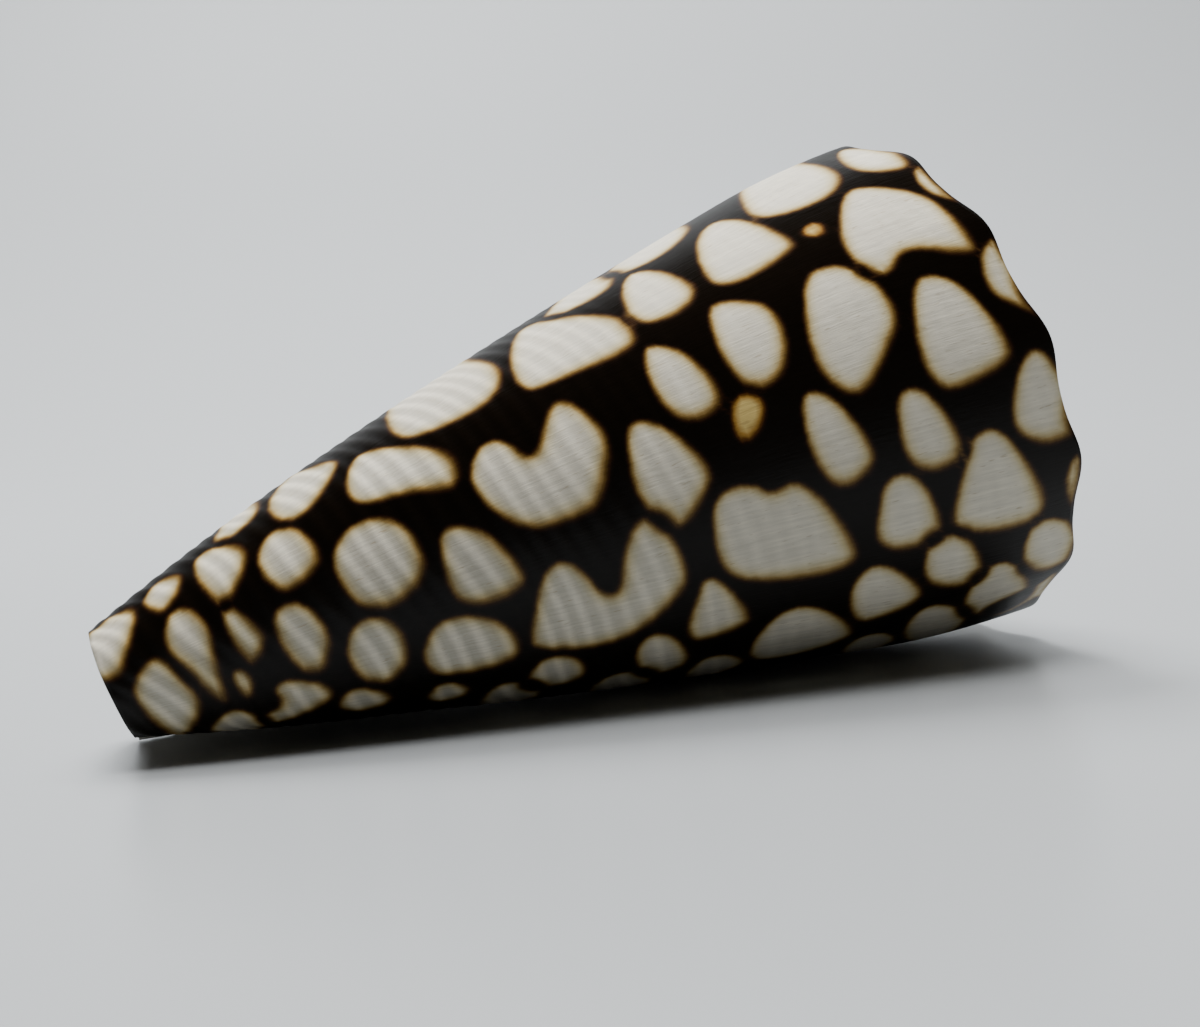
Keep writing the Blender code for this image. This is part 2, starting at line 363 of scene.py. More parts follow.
# %% Set up the camera
PHOTO_WIDTH = 1200.0
PHOTO_HEIGHT = 1027.0
FOCAL_PIXELS = 1700.0
SENSOR_MM = 36.0
CAMERA_PLACE_MM = Vector((-51.76, -149.98, 31.22))
CAMERA_YAW = math.radians(20.32)
CAMERA_PITCH = math.radians(5.46)
CAMERA_ROLL = math.radians(4.95)
ahead = Vector((
    math.sin(CAMERA_YAW) * math.cos(CAMERA_PITCH),
    math.cos(CAMERA_YAW) * math.cos(CAMERA_PITCH),
    -math.sin(CAMERA_PITCH)))
level_right = Vector((math.cos(CAMERA_YAW), -math.sin(CAMERA_YAW), 0.0))
level_down = ahead.cross(level_right)
right = math.cos(CAMERA_ROLL) * level_right + math.sin(CAMERA_ROLL) * level_down
down = -math.sin(CAMERA_ROLL) * level_right + math.cos(CAMERA_ROLL) * level_down
lens = bpy.data.cameras.new("view")
lens.sensor_width = SENSOR_MM
lens.lens = FOCAL_PIXELS / PHOTO_WIDTH * SENSOR_MM
lens.clip_start = 0.01
lens.clip_end = 20.0
camera = bpy.data.objects.new("view", lens)
bpy.context.scene.collection.objects.link(camera)
facing = Matrix((right, -down, -ahead)).transposed().to_4x4()
camera.matrix_world = Matrix.Translation(CAMERA_PLACE_MM * MM) @ facing
bpy.context.scene.camera = camera
print("lens, mm:", lens.lens)

# %% [markdown]
# ## The white patches
#
# On the real shell the white patches are what the dark glaze leaves free: rounded tents and eggs,
# each with its own outline. A repeating texture would look wrong at once, so the patches in view
# are drawn one by one, each as a few corner points in the picture frame, 1200 by 1027. Corners are
# rounded by cutting them three times. Points that fall outside the outline of the shell belong to
# a patch that runs on behind it.

# %% Patches near the shoulder
SHOULDER_PATCHES = {
    "lower rim": ((984, 611), (1000, 603), (1020, 594), (1038, 584), (1052, 573), (1060, 570),
                  (1056, 582), (1044, 593), (1028, 603), (1007, 613), (990, 618)),
    "crown slip": ((830, 152), (860, 146), (900, 150), (918, 168), (880, 175), (845, 171)),
    "crown corner": ((908, 166), (930, 165), (965, 190), (990, 205), (955, 203), (920, 192)),
    "crown long": ((732, 186), (765, 168), (810, 160), (848, 172), (838, 196), (790, 216), (745, 222)),
    "boomerang": ((838, 195), (860, 184), (910, 188), (945, 203), (982, 245), (972, 258),
                  (905, 248), (896, 272), (878, 280), (855, 268), (836, 240)),
    "upper leaf": ((692, 238), (715, 218), (755, 218), (800, 240), (795, 252), (750, 282),
                   (712, 290), (696, 268)),
    "upper edge slip": ((978, 250), (992, 234), (1006, 240), (1022, 285), (1048, 322), (1018, 308),
                        (992, 298), (980, 275)),
    "tall egg": ((800, 276), (826, 262), (868, 268), (904, 312), (892, 350), (872, 392),
                 (848, 400), (816, 374), (803, 330)),
    "tall tent": ((908, 280), (932, 270), (968, 284), (1016, 342), (1012, 366), (958, 394),
                  (934, 390), (914, 350)),
    "edge tent": ((1008, 420), (1014, 370), (1030, 344), (1052, 352), (1078, 405), (1082, 434),
                  (1046, 450), (1018, 438)),
    "middle tent": ((894, 394), (912, 382), (938, 396), (968, 440), (962, 464), (932, 478),
                    (904, 464), (896, 430)),
    "narrow tent": ((798, 394), (818, 386), (846, 404), (882, 450), (874, 474), (846, 494),
                    (822, 482), (803, 440)),
    "great triangle": ((970, 436), (988, 424), (1008, 430), (1052, 490), (1044, 520), (1000, 536),
                       (956, 534), (948, 516), (964, 462)),
    "edge slip": ((1062, 478), (1074, 450), (1088, 456), (1090, 508), (1078, 518), (1066, 504)),
    "round tent": ((882, 480), (904, 468), (928, 480), (948, 522), (938, 542), (898, 556),
                   (872, 544), (876, 508)),
    "low round": ((924, 546), (942, 532), (968, 532), (988, 560), (980, 582), (946, 592), (920, 582)),
    "low edge": ((1024, 534), (1042, 516), (1070, 516), (1084, 536), (1072, 560), (1040, 576),
                 (1018, 568)),
    "low tilt": ((958, 604), (978, 574), (1004, 556), (1028, 570), (1034, 592), (1004, 612), (968, 618)),
    "low tent": ((845, 598), (860, 568), (888, 560), (928, 586), (920, 604), (880, 620), (852, 626)),
    "low leaf": ((896, 638), (914, 610), (944, 600), (972, 612), (962, 630), (910, 644)),
}
print("near the shoulder:", len(SHOULDER_PATCHES))

# %% Patches on the middle of the side
MIDDLE_PATCHES = {
    "small egg": ((616, 290), (630, 270), (665, 268), (700, 284), (696, 304), (665, 324), (628, 326)),
    "top slip": ((602, 272), (640, 240), (690, 220), (694, 232), (660, 260), (615, 278)),
    "top slip two": ((538, 318), (575, 286), (616, 270), (616, 286), (588, 304), (550, 320)),
    "long upper": ((506, 350), (520, 326), (565, 314), (622, 312), (642, 336), (630, 354),
                   (565, 380), (528, 396), (510, 380)),
    "long edge": ((378, 418), (405, 390), (455, 358), (495, 358), (508, 376), (494, 404),
                  (440, 432), (396, 444)),
    "upper tent": ((703, 304), (730, 298), (768, 300), (790, 330), (790, 372), (764, 394),
                   (738, 386), (714, 350)),
    "upper egg": ((640, 346), (662, 342), (692, 352), (726, 390), (720, 414), (692, 426),
                  (664, 414), (645, 380)),
    "notched block": ((708, 510), (720, 488), (752, 480), (774, 492), (790, 476), (822, 490),
                      (866, 548), (850, 572), (790, 584), (735, 584), (714, 562)),
    "leaning egg": ((621, 428), (640, 416), (672, 426), (718, 468), (710, 498), (684, 534),
                    (662, 526), (632, 498)),
    "two peaks": ((466, 470), (478, 442), (506, 436), (534, 462), (544, 408), (564, 394),
                  (606, 424), (614, 452), (606, 500), (592, 516), (536, 536), (496, 518), (472, 494)),
    "bar": ((342, 478), (356, 450), (412, 442), (452, 448), (465, 476), (452, 494), (410, 494),
            (366, 508), (346, 500)),
    "broad round": ((328, 556), (344, 526), (380, 512), (414, 526), (432, 566), (420, 592),
                    (390, 614), (356, 610), (336, 582)),
    "soft tent": ((436, 532), (454, 522), (488, 528), (532, 570), (524, 594), (484, 610),
                  (452, 604), (440, 566)),
    "two hills": ((536, 586), (548, 562), (574, 556), (616, 604), (620, 548), (638, 512),
                  (668, 522), (696, 572), (682, 600), (640, 636), (590, 652), (530, 652), (528, 632)),
    "small triangle": ((700, 578), (720, 574), (756, 612), (748, 628), (694, 646), (682, 632),
                       (694, 600)),
    "low long": ((738, 662), (766, 620), (798, 602), (832, 608), (862, 630), (840, 644), (780, 660)),
    "low oval": ((630, 656), (646, 632), (674, 632), (696, 654), (684, 670), (640, 678)),
    "low slip": ((676, 680), (702, 656), (734, 652), (752, 662), (720, 674), (690, 682)),
    "low slip two": ((832, 656), (856, 636), (886, 630), (904, 638), (876, 650), (845, 658)),
    "low slip three": ((580, 696), (602, 676), (636, 668), (660, 678), (636, 690), (595, 696)),
    "low egg": ((521, 684), (540, 656), (574, 652), (594, 668), (578, 684), (534, 690)),
    "low broad": ((420, 646), (436, 618), (476, 610), (514, 624), (528, 650), (506, 668),
                  (440, 680), (422, 668)),
    "low slip four": ((472, 706), (496, 682), (528, 680), (550, 692), (526, 702), (485, 708)),
    "low bead": ((422, 698), (440, 680), (466, 682), (476, 690), (462, 700), (432, 704)),
    "low round two": ((341, 646), (354, 618), (386, 612), (410, 634), (413, 668), (384, 690),
                      (352, 678)),
}
print("on the middle of the side:", len(MIDDLE_PATCHES))

# %% Patches near the narrow end
END_PATCHES = {
    "edge leaf": ((262, 504), (290, 474), (342, 454), (338, 474), (312, 512), (288, 526), (270, 520)),
    "edge sliver": ((205, 546), (232, 512), (264, 496), (260, 516), (230, 542)),
    "end egg": ((268, 614), (288, 598), (314, 604), (337, 636), (330, 672), (306, 680), (280, 654)),
    "end round": ((252, 556), (268, 530), (294, 522), (322, 544), (322, 570), (288, 598), (262, 584)),
    "end triangle": ((187, 568), (204, 548), (240, 540), (252, 556), (240, 590), (224, 612), (206, 598)),
    "end bean": ((139, 602), (158, 578), (186, 570), (182, 594), (164, 617), (145, 612)),
    "end slant": ((218, 608), (232, 602), (262, 626), (271, 642), (258, 668), (244, 664), (224, 634)),
    "end comma": ((160, 630), (170, 608), (192, 604), (214, 628), (220, 662), (233, 700),
                  (222, 708), (192, 682), (166, 654)),
    "end dot": ((229, 672), (240, 664), (258, 678), (256, 698), (244, 702), (233, 688)),
    "end broad": ((128, 688), (142, 662), (160, 652), (198, 688), (207, 712), (192, 736),
                  (170, 738), (138, 712)),
    "end tip": ((86, 640), (100, 622), (134, 602), (140, 616), (132, 650), (120, 690), (108, 680),
                (90, 655)),
    "end hook": ((270, 690), (284, 676), (322, 678), (342, 694), (318, 712), (276, 726),
                 (258, 716), (282, 704)),
    "end low": ((201, 737), (220, 712), (242, 706), (262, 716), (273, 732), (235, 740)),
    "end slip": ((333, 704), (350, 686), (380, 686), (400, 698), (380, 710), (344, 714)),
}
print("near the narrow end:", len(END_PATCHES))

# %% Two small patches that stayed honey yellow
HONEY_PATCHES = {
    "honey dot": ((800, 228), (812, 220), (826, 224), (828, 234), (814, 240), (801, 236)),
    "honey egg": ((729, 400), (748, 388), (766, 398), (768, 418), (756, 440), (740, 446), (731, 430)),
}
all_patches = {**SHOULDER_PATCHES, **MIDDLE_PATCHES, **END_PATCHES, **HONEY_PATCHES}
print("patches drawn by hand:", len(all_patches))

# %% [markdown]
# ## From the picture frame onto the shell
#
# Each outline point becomes a ray from the camera. Where the ray meets the shell, the turn and the
# distance along the side are read off. A point just outside the outline of the shell is mirrored
# at the outline and read off on the far side, so its patch wraps round instead of stopping.


# %% Cut the corners of an outline
CORNER_CUT = 0.25


def rounded(corners, times=3):
    points = np.array(corners, float)
    for _ in range(times):
        following = np.roll(points, -1, axis=0)
        points = np.stack([(1.0 - CORNER_CUT) * points + CORNER_CUT * following,
                           CORNER_CUT * points + (1.0 - CORNER_CUT) * following],
                          axis=1).reshape(-1, 2)
    return points


# %% What the camera can see
step_round = np.gradient(strip_points, axis=0)
step_along = np.gradient(strip_points, axis=1)
strip_normal = np.cross(step_round, step_along)
strip_normal = strip_normal / np.linalg.norm(strip_normal, axis=2, keepdims=True)
outward = strip_points - strip_points.mean(axis=(0, 1))
strip_normal = strip_normal * np.sign((strip_normal * outward).sum())
to_camera = np.array(CAMERA_PLACE_MM) - strip_points
to_camera = to_camera / np.linalg.norm(to_camera, axis=2, keepdims=True)
strip_facing = (strip_normal * to_camera).sum(axis=2)
facing_flat = strip_facing.ravel()
print("in view:", round(float((strip_facing > 0).mean()), 3))

# %% A tree that finds where a ray meets the strip
strip_columns, strip_count = strip_points.shape[:2]
corner = np.arange(strip_columns - 1)[:, None] * strip_count + np.arange(strip_count - 1)[None, :]
corner = corner.ravel()
strip_quads = np.stack([corner, corner + 1, corner + strip_count + 1, corner + strip_count], axis=1)
strip_flat = strip_points.reshape(-1, 3)
strip_tree = BVHTree.FromPolygons([Vector(p) for p in strip_flat], strip_quads.tolist())
turn_flat = np.repeat(side_turns, strip_count)
along_flat = np.tile(strip_along, strip_columns)
print("quads to hit:", len(strip_quads))


def read_strip(place, face):
    quad = strip_quads[face]
    weights = np.array(poly_3d_calc([Vector(strip_flat[k]) for k in quad], place))
    return float(weights @ turn_flat[quad]), float(weights @ along_flat[quad])


def ray_through(pixel):
    across = float(pixel[0] - PHOTO_WIDTH / 2.0) / FOCAL_PIXELS
    below = float(pixel[1] - PHOTO_HEIGHT / 2.0) / FOCAL_PIXELS
    return (ahead + across * right + below * down).normalized()


def first_hit(pixel):
    place, _, face, _ = strip_tree.ray_cast(CAMERA_PLACE_MM, ray_through(pixel))
    if face is None or facing_flat[strip_quads[face]].mean() < 0.0:
        return None
    return read_strip(place, face)


STEP_PAST_MM = 0.02
HALVINGS = 14
SHORT_OF_EDGE = 0.98


def far_hit(pixel):
    direction = ray_through(pixel)
    start = strip_tree.ray_cast(CAMERA_PLACE_MM, direction)[0]
    if start is None:
        return None
    place, _, face, _ = strip_tree.ray_cast(start + STEP_PAST_MM * direction, direction)
    return None if face is None else read_strip(place, face)


def onto_shell(pixel, middle):
    """Turn and distance along for a pixel, mirrored at the outline of the shell where it misses."""
    hit = first_hit(pixel)
    if hit is not None:
        return hit
    inside = 0.0
    outside = 1.0
    for _ in range(HALVINGS):
        half = (inside + outside) / 2.0
        if first_hit(middle + half * (pixel - middle)) is None:
            outside = half
        else:
            inside = half
    mirrored = min(max(2.0 * inside - 1.0, 0.0), SHORT_OF_EDGE * inside)
    return far_hit(middle + mirrored * (pixel - middle))


# %% Carry every outline over
WHOLE_TURN = 2.0 * math.pi
ON_THE_SHELL = np.array((600.0, 480.0))
STEP_PIXELS = 2.0


def outline_on_strip(corners):
    corners = np.array(corners, float)
    middle = corners.mean(axis=0)
    for _ in range(HALVINGS):
        if first_hit(middle) is not None:
            break
        inward = ON_THE_SHELL - middle
        middle = middle + STEP_PIXELS * inward / np.linalg.norm(inward)
    points = [onto_shell(pixel, middle) for pixel in rounded(corners)]
    return np.array([point for point in points if point is not None])


drawn_outlines = {name: outline_on_strip(corners) for name, corners in all_patches.items()}
print("outline points:", sum(len(line) for line in drawn_outlines.values()),
      " without any:", [name for name, line in drawn_outlines.items() if len(line) < 3])

# %% [markdown]
# ## How deep in the white
#
# The material needs one number at each vertex: the distance to the nearest patch edge, positive
# inside the white and negative in the dark. Distances blend smoothly between vertices, so an edge
# stays crisp even where the mesh is coarser than the brown line along it. Painting the colours
# themselves onto the vertices would show every quad.

# %% Distance to one outline
REACH_MM = 3.4
FAR_AWAY = -9.0
WARMER_ALONG = 0.35
WARMER_ROUND = 0.6
patch_depth = np.full(strip_points.shape[:2], FAR_AWAY)
patch_second = np.full(strip_points.shape[:2], FAR_AWAY)
patch_honey = np.zeros(strip_points.shape[:2])
patch_warmth = np.zeros(strip_points.shape[:2])


def local_radius(turn, along):
    column = np.clip(-turn * COLUMNS, 0, COLUMNS).astype(int)
    row = np.clip(np.searchsorted(strip_along, along), 0, len(strip_along) - 1)
    return strip_radius[column, row]


def depth_in(outline, x, y):
    """Signed distance of points to a closed outline, positive inside."""
    start = outline
    end = np.roll(outline, -1, axis=0)
    edge = end - start
    best = np.full(x.shape, 1e9)
    inside = np.zeros(x.shape, bool)
    for (sx, sy), (_, ey), (dx, dy) in zip(start, end, edge):
        length = max(dx * dx + dy * dy, 1e-12)
        part = np.clip(((x - sx) * dx + (y - sy) * dy) / length, 0.0, 1.0)
        best = np.minimum(best, (x - sx - part * dx) ** 2 + (y - sy - part * dy) ** 2)
        crosses = (sy > y) != (ey > y)
        if abs(dy) > 1e-12:
            inside ^= crosses & (x < sx + (y - sy) * dx / dy)
    return np.where(inside, 1.0, -1.0) * np.sqrt(best)


def flattened(outline):
    """An outline in millimetres round its centre, with that centre and the length of a turn."""
    centre = outline.mean(axis=0)
    turn_length = WHOLE_TURN * float(local_radius(centre[:1], centre[1:])[0])
    flat = np.stack([(outline[:, 0] - centre[0]) * turn_length, outline[:, 1] - centre[1]], axis=1)
    return flat, centre, turn_length


def add_patch(outline, honey=0.0):
    """Paint one outline, given as turn and along, into the depth of the strip."""
    flat, centre, turn_length = flattened(outline)
    low = flat.min(axis=0) - REACH_MM
    high = flat.max(axis=0) + REACH_MM
    across = (side_turns - centre[0]) * turn_length
    along = strip_along - centre[1]
    columns = np.nonzero((across > low[0]) & (across < high[0]))[0]
    rows = np.nonzero((along > low[1]) & (along < high[1]))[0]
    if len(columns) == 0 or len(rows) == 0:
        return
    area = np.ix_(columns, rows)
    x = np.broadcast_to(across[columns][:, None], (len(columns), len(rows)))
    y = np.broadcast_to(along[rows][None, :], x.shape)
    depth = depth_in(flat, x, y)
    before = patch_depth[area]
    nearer = depth > before
    patch_second[area] = np.where(nearer, before, np.maximum(patch_second[area], depth))
    patch_depth[area] = np.where(nearer, depth, before)
    patch_honey[area] = np.where(nearer, honey, patch_honey[area])
    size = np.maximum(np.abs(flat).max(), 1.0)
    warmth = np.clip(0.5 + (WARMER_ALONG * y - WARMER_ROUND * x) / size, 0.0, 1.0)
    patch_warmth[area] = np.where(nearer, warmth, patch_warmth[area])


drawn_outlines = {name: outline for name, outline in drawn_outlines.items() if len(outline) > 2}
# The patch at the narrow end runs over the rim, so its points near the rim go past it.
RIM_PATCH = "end tip"
RIM_ALONG = 1.6
past_rim = drawn_outlines[RIM_PATCH][:, 1] < RIM_ALONG
drawn_outlines[RIM_PATCH][past_rim, 1] -= 2.0 * RIM_ALONG
for name, outline in drawn_outlines.items():
    add_patch(outline, 1.0 if name in HONEY_PATCHES else 0.0)
print("white share in view so far:", round(float((patch_depth > 0).mean()), 3))

# %% [markdown]
# ## Patches out of view
#
# The far side needs markings of the same family. Copying the front would show as a twin, so the
# same outlines are used as a set of stencils: one is picked, turned and scaled a little, and laid
# down where its whole edge keeps a fair gap from what is there. Big ones go first and small ones
# fill the holes, which is how the real pattern looks. The random numbers are seeded, so the shell
# comes out the same every time.

# %% Stencils from the drawn outlines
STENCIL_STRETCH = 1.75
SMALLEST_MM = 3.0
LARGEST_MM = 12.0
stencils = []
for name, outline in drawn_outlines.items():
    if name in HONEY_PATCHES:
        continue
    flat = flattened(outline)[0]
    spread = flat.max(axis=0) - flat.min(axis=0)
    if spread.max() / spread.min() < STENCIL_STRETCH and SMALLEST_MM < spread.max() < LARGEST_MM:
        stencils.append(flat)
print("stencils:", len(stencils))

# %% Lay stencils down where there is room
def strip_value(table, turn, along):
    column = np.clip(np.round(-turn * COLUMNS).astype(int), 0, COLUMNS)
    row = np.clip(np.round(np.interp(along, strip_along, np.arange(len(strip_along)))).astype(int),
                  0, len(strip_along) - 1)
    return table[column, row]


GAP_MM = 1.25
CENTRE_ROOM_MM = 1.0
SEEN_EDGE = -0.02
TURNS_COVERED = 1.02
PAST_LIP = 0.01
STENCIL_VARIES = (0.92, 1.08)
STENCIL_TILT = 0.12
SIZES_AND_TRIES = ((1.15, 500), (1.0, 1500), (0.85, 2500), (0.7, 3500), (0.6, 3000), (0.45, 1500))
chance = np.random.default_rng(11)
laid = 0
for stencil_scale, tries in SIZES_AND_TRIES:
    for _ in range(tries):
        turn = -chance.random() * TURNS_COVERED + PAST_LIP
        along = chance.random() * strip_along[-1]
        flat = stencils[chance.integers(len(stencils))] * stencil_scale * chance.uniform(*STENCIL_VARIES)
        tilt = chance.normal(0.0, STENCIL_TILT)
        if strip_value(patch_depth, np.array([turn]), np.array([along]))[0] > -GAP_MM - CENTRE_ROOM_MM:
            continue
        radius = float(local_radius(np.array([turn]), np.array([along]))[0])
        x = flat[:, 0] * math.cos(tilt) - flat[:, 1] * math.sin(tilt)
        y = flat[:, 0] * math.sin(tilt) + flat[:, 1] * math.cos(tilt)
        outline = np.stack([turn + x / (WHOLE_TURN * radius), along + y], axis=1)
        if strip_value(patch_depth, outline[:, 0], outline[:, 1]).max() > -GAP_MM:
            continue
        if strip_value(strip_facing, outline[:, 0], outline[:, 1]).max() > SEEN_EDGE:
            continue
        add_patch(outline)
        laid += 1
# Where two patches nearly touch, a thin dark line stays between them.
LEAST_GAP_MM = 0.24
patch_depth = np.minimum(patch_depth, -patch_second - LEAST_GAP_MM)
print("patches laid out of view:", laid)

# %% [markdown]
# ## Building the skin
#
# The outside, the ramp of the spire, the inside of the last whorl, the roof under the ramp and the
# wall of the whorl before it are five bent grids. Each keeps a few facts at its vertices, such as
# how deep in the white it is, where it is on the strip, and whether it is inside. The gaps between
# grids of different density are laced like a shoe, always taking the shorter diagonal. A
# boolean would join the walls too, but it would lose the facts along its cuts.

# %% Bend a primitive grid onto points
RIDGE_SHARPNESS = 1.5
SKIN_FACTS = ("white_depth", "honey", "warmth", "inside", "cord", "round_sin", "round_cos", "along")


def keep_facts(mesh, facts):
    for name, values in zip(SKIN_FACTS, np.asarray(facts, np.float32).reshape(len(SKIN_FACTS), -1)):
        layer = mesh.attributes.new(name, "FLOAT", "POINT")
        layer.data.foreach_set("value", np.ascontiguousarray(values))


def bent_grid(name, points, facts):
    """A grid of quads whose vertex (i, j) lies at points[i, j], in millimetres."""
    columns, rows = points.shape[:2]
    bpy.ops.object.select_all(action="DESELECT")
    bpy.ops.mesh.primitive_grid_add(x_subdivisions=columns - 1, y_subdivisions=rows - 1, size=1.0)
    sheet = bpy.context.object
    sheet.name = name
    flat = np.empty(len(sheet.data.vertices) * 3, np.float32)
    sheet.data.vertices.foreach_get("co", flat)
    flat = flat.reshape(-1, 3)
    i = np.round((flat[:, 0] + 0.5) * (columns - 1)).astype(int)
    j = np.round((flat[:, 1] + 0.5) * (rows - 1)).astype(int)
    sheet.data.vertices.foreach_set("co", (points[i, j] * MM).astype(np.float32).ravel())
    keep_facts(sheet.data, facts[:, i, j])
    return sheet


# %% Facts about a point of the skin
def skin_facts(turn, share, along, inside, depth, honey, warmth):
    turn, share, along, inside, depth, honey, warmth = np.broadcast_arrays(
        turn, share, along, inside, depth, honey, warmth)
    ridge = cord_ridge(turn, np.minimum(share, 1.0)) ** RIDGE_SHARPNESS
    angle = WHOLE_TURN * turn
    return np.stack([depth, honey, warmth, inside, ridge, np.sin(angle), np.cos(angle), along])


# %% Blotches on the older whorls of the spire
BLOTCH_START = -1.02
BLOTCH_HALF_MM = (1.8, 4.2)
BLOTCH_PLACE = (0.30, 0.52)
BLOTCH_WIDTH = (0.34, 0.48)
BLOTCH_GAP_MM = (1.2, 3.0)
BLOTCH_SQUARENESS = 2.5
RAMP_RADIUS = LIP_RADIUS * 0.88
blotch_turn = ramp_turns[:, None] + 0.0 * ramp_shares[None, :]
blotch_along = ramp_along(ramp_turns[:, None], ramp_shares[None, :])
ramp_depth = np.full(blotch_turn.shape, FAR_AWAY)
turn = BLOTCH_START
while turn > -SPIRE_TURNS:
    size = float(whorl_size(turn))
    turn_length = WHOLE_TURN * RAMP_RADIUS * size
    half = chance.uniform(*BLOTCH_HALF_MM) * size ** 0.6
    shift = chance.uniform(*BLOTCH_PLACE)
    width = chance.uniform(*BLOTCH_WIDTH) * float(ramp_run[-1]) * size
    x = (blotch_turn - turn) * turn_length / half
    y = (blotch_along - SIDE_LENGTH - shift * ramp_run[-1] * size) / width
    away = (np.abs(x) ** BLOTCH_SQUARENESS + np.abs(y) ** BLOTCH_SQUARENESS) ** (1.0 / BLOTCH_SQUARENESS)
    ramp_depth = np.maximum(ramp_depth, (1.0 - away) * min(half, width))
    turn -= (half * 2.0 + chance.uniform(*BLOTCH_GAP_MM) * size ** 0.7) / turn_length
ramp_depth[:COLUMNS + 1] = np.where(
    (ramp_turns[:COLUMNS + 1] >= -1.0)[:, None],
    patch_depth[:, len(side_shares) - 1:], ramp_depth[:COLUMNS + 1])
PLAIN_WARMTH = 0.5
print("white share of the spire:", round(float((ramp_depth > 0).mean()), 3))

# %% The five sheets
on_side = slice(0, len(side_shares))
side_facts = skin_facts(
    side_turns[:, None], side_shares[None, :], side_along(side_turns[:, None], side_shares[None, :]), 0.0,
    patch_depth[:, on_side], patch_honey[:, on_side], patch_warmth[:, on_side])
ramp_facts = skin_facts(
    ramp_turns[:, None], 1.0 + ramp_shares[None, :], blotch_along, 0.0, ramp_depth, 0.0, PLAIN_WARMTH)
WALL_THICKENS_IN = 0.12
END_WALL = 0.7
END_WALL_GAIN = 0.3
END_WALL_REACH = 3.0


def inner_wall(turn, share):
    wall = LIP_WALL + (DEEP_WALL - LIP_WALL) * smooth(-turn / WALL_THICKENS_IN)
    wall = wall * (END_WALL + END_WALL_GAIN * smooth(share * END_WALL_REACH))
    radius, height = side_curve(turn, share)
    return posed(radius - wall, height, 360.0 * turn + lip_sweep(share)) + resting_shift


ROOF_INWARD = 0.4
ROOF_SWEEP = 0.5
roof_shares = np.array([0.2, 0.45, 0.72])
turns = hollow_turns[:, None]
shares = hollow_shares[None, :]
inner_grid = inner_wall(turns, shares)
older_radius, older_height = side_curve(turns - 1.0, shares)
older_degrees = 360.0 * (turns - 1.0) + lip_sweep(shares)
older_grid = posed(older_radius, older_height, older_degrees) + resting_shift
older_grid[0, -1] = outer_grid[COLUMNS, top_row]
roof_radius, roof_height = ramp_curve(turns, roof_shares[None, :])
roof_degrees = 360.0 * turns + notch_sweep(roof_shares[None, :]) * ROOF_SWEEP
roof_under = posed(roof_radius - ROOF_INWARD, roof_height - RAMP_WALL, roof_degrees) + resting_shift
INSIDE_LENGTH_MM = 60.0
roof_grid = np.concatenate([inner_grid[:, -1:], roof_under, older_grid[:, -1:]], axis=1)


def inside_facts(turn, rows):
    return skin_facts(turn[:, None], rows[None, :], INSIDE_LENGTH_MM * rows[None, :], 1.0,
                      FAR_AWAY, 0.0, PLAIN_WARMTH)


inner_facts = inside_facts(hollow_turns, hollow_shares)
older_facts = inside_facts(hollow_turns - 1.0, hollow_shares)
roof_facts = inside_facts(hollow_turns, np.linspace(0.95, 1.0, roof_grid.shape[1]))
sheets = [
    bent_grid("outside", outer_grid, side_facts),
    bent_grid("ramp", ramp_grid, ramp_facts),
    bent_grid("inside", inner_grid, inner_facts),
    bent_grid("roof", roof_grid, roof_facts),
    bent_grid("whorl_before", older_grid[1:], older_facts[:, 1:]),
]
print("faces in the sheets:", [len(sheet.data.polygons) for sheet in sheets])


# %% Lace two edges together
def lace(first, second):
    """Triangles between two paths of points that start and end side by side."""
    i = 0
    j = 0
    triangles = []
    while i < len(first) - 1 or j < len(second) - 1:
        step_first = i < len(first) - 1
        if step_first and j < len(second) - 1:
            ahead_first = np.linalg.norm(first[i + 1, :3] - second[j, :3])
            ahead_second = np.linalg.norm(second[j + 1, :3] - first[i, :3])
            step_first = ahead_first <= ahead_second
        if step_first:
            triangles.append((first[i], first[i + 1], second[j]))
            i += 1
        else:
            triangles.append((first[i], second[j + 1], second[j]))
            j += 1
    return triangles


def path(points, facts):
    """Points with their facts beside them, as one row each."""
    return np.concatenate([points, np.moveaxis(facts, 0, -1)], axis=-1)


outer_path = path(outer_grid, side_facts)
ramp_path = path(ramp_grid, ramp_facts)
inner_path = path(inner_grid, inner_facts)
roof_path = path(roof_grid, roof_facts)
older_path = path(older_grid, older_facts)
older_path[0, -1] = outer_path[COLUMNS, top_row]

# %% The lip, the narrow end and the back of the hollow
LIP_ROUNDING = 0.30
TURN_STEP = 0.004
outer_match = side_points(0.0, hollow_shares) + resting_shift
forward = side_points(TURN_STEP, hollow_shares) - side_points(-TURN_STEP, hollow_shares)
forward = forward / np.linalg.norm(forward, axis=1, keepdims=True)
rim_points = (outer_match + inner_grid[0]) / 2.0 + LIP_ROUNDING * forward
rim_path = path(rim_points, inner_facts[:, 0])
last = HOLLOW_COLUMNS
hollow_end = int(round(HOLLOW_TURNS * COLUMNS))
lip_over = np.concatenate([
    outer_path[0, top_row:], ramp_path[0, 1:], outer_path[COLUMNS, top_row:-1][::-1]])
lip_under = np.concatenate([rim_path[-1:], inner_path[0, -1:], roof_path[0, 1:-1]])
strips = lace(outer_path[0, :top_row + 1], rim_path)
strips += lace(rim_path, inner_path[0])
strips += lace(lip_over, lip_under)
strips += lace(outer_path[COLUMNS, :top_row + 1], older_path[1])
strips += lace(outer_path[:hollow_end + 1, 0], np.concatenate([rim_path[:1], inner_path[:, 0]]))
strips += lace(outer_path[hollow_end:, 0], np.concatenate([inner_path[last:, 0], older_path[:0:-1, 0]]))
strips += lace(np.concatenate([inner_path[last], roof_path[last, 1:-1]]), older_path[last])
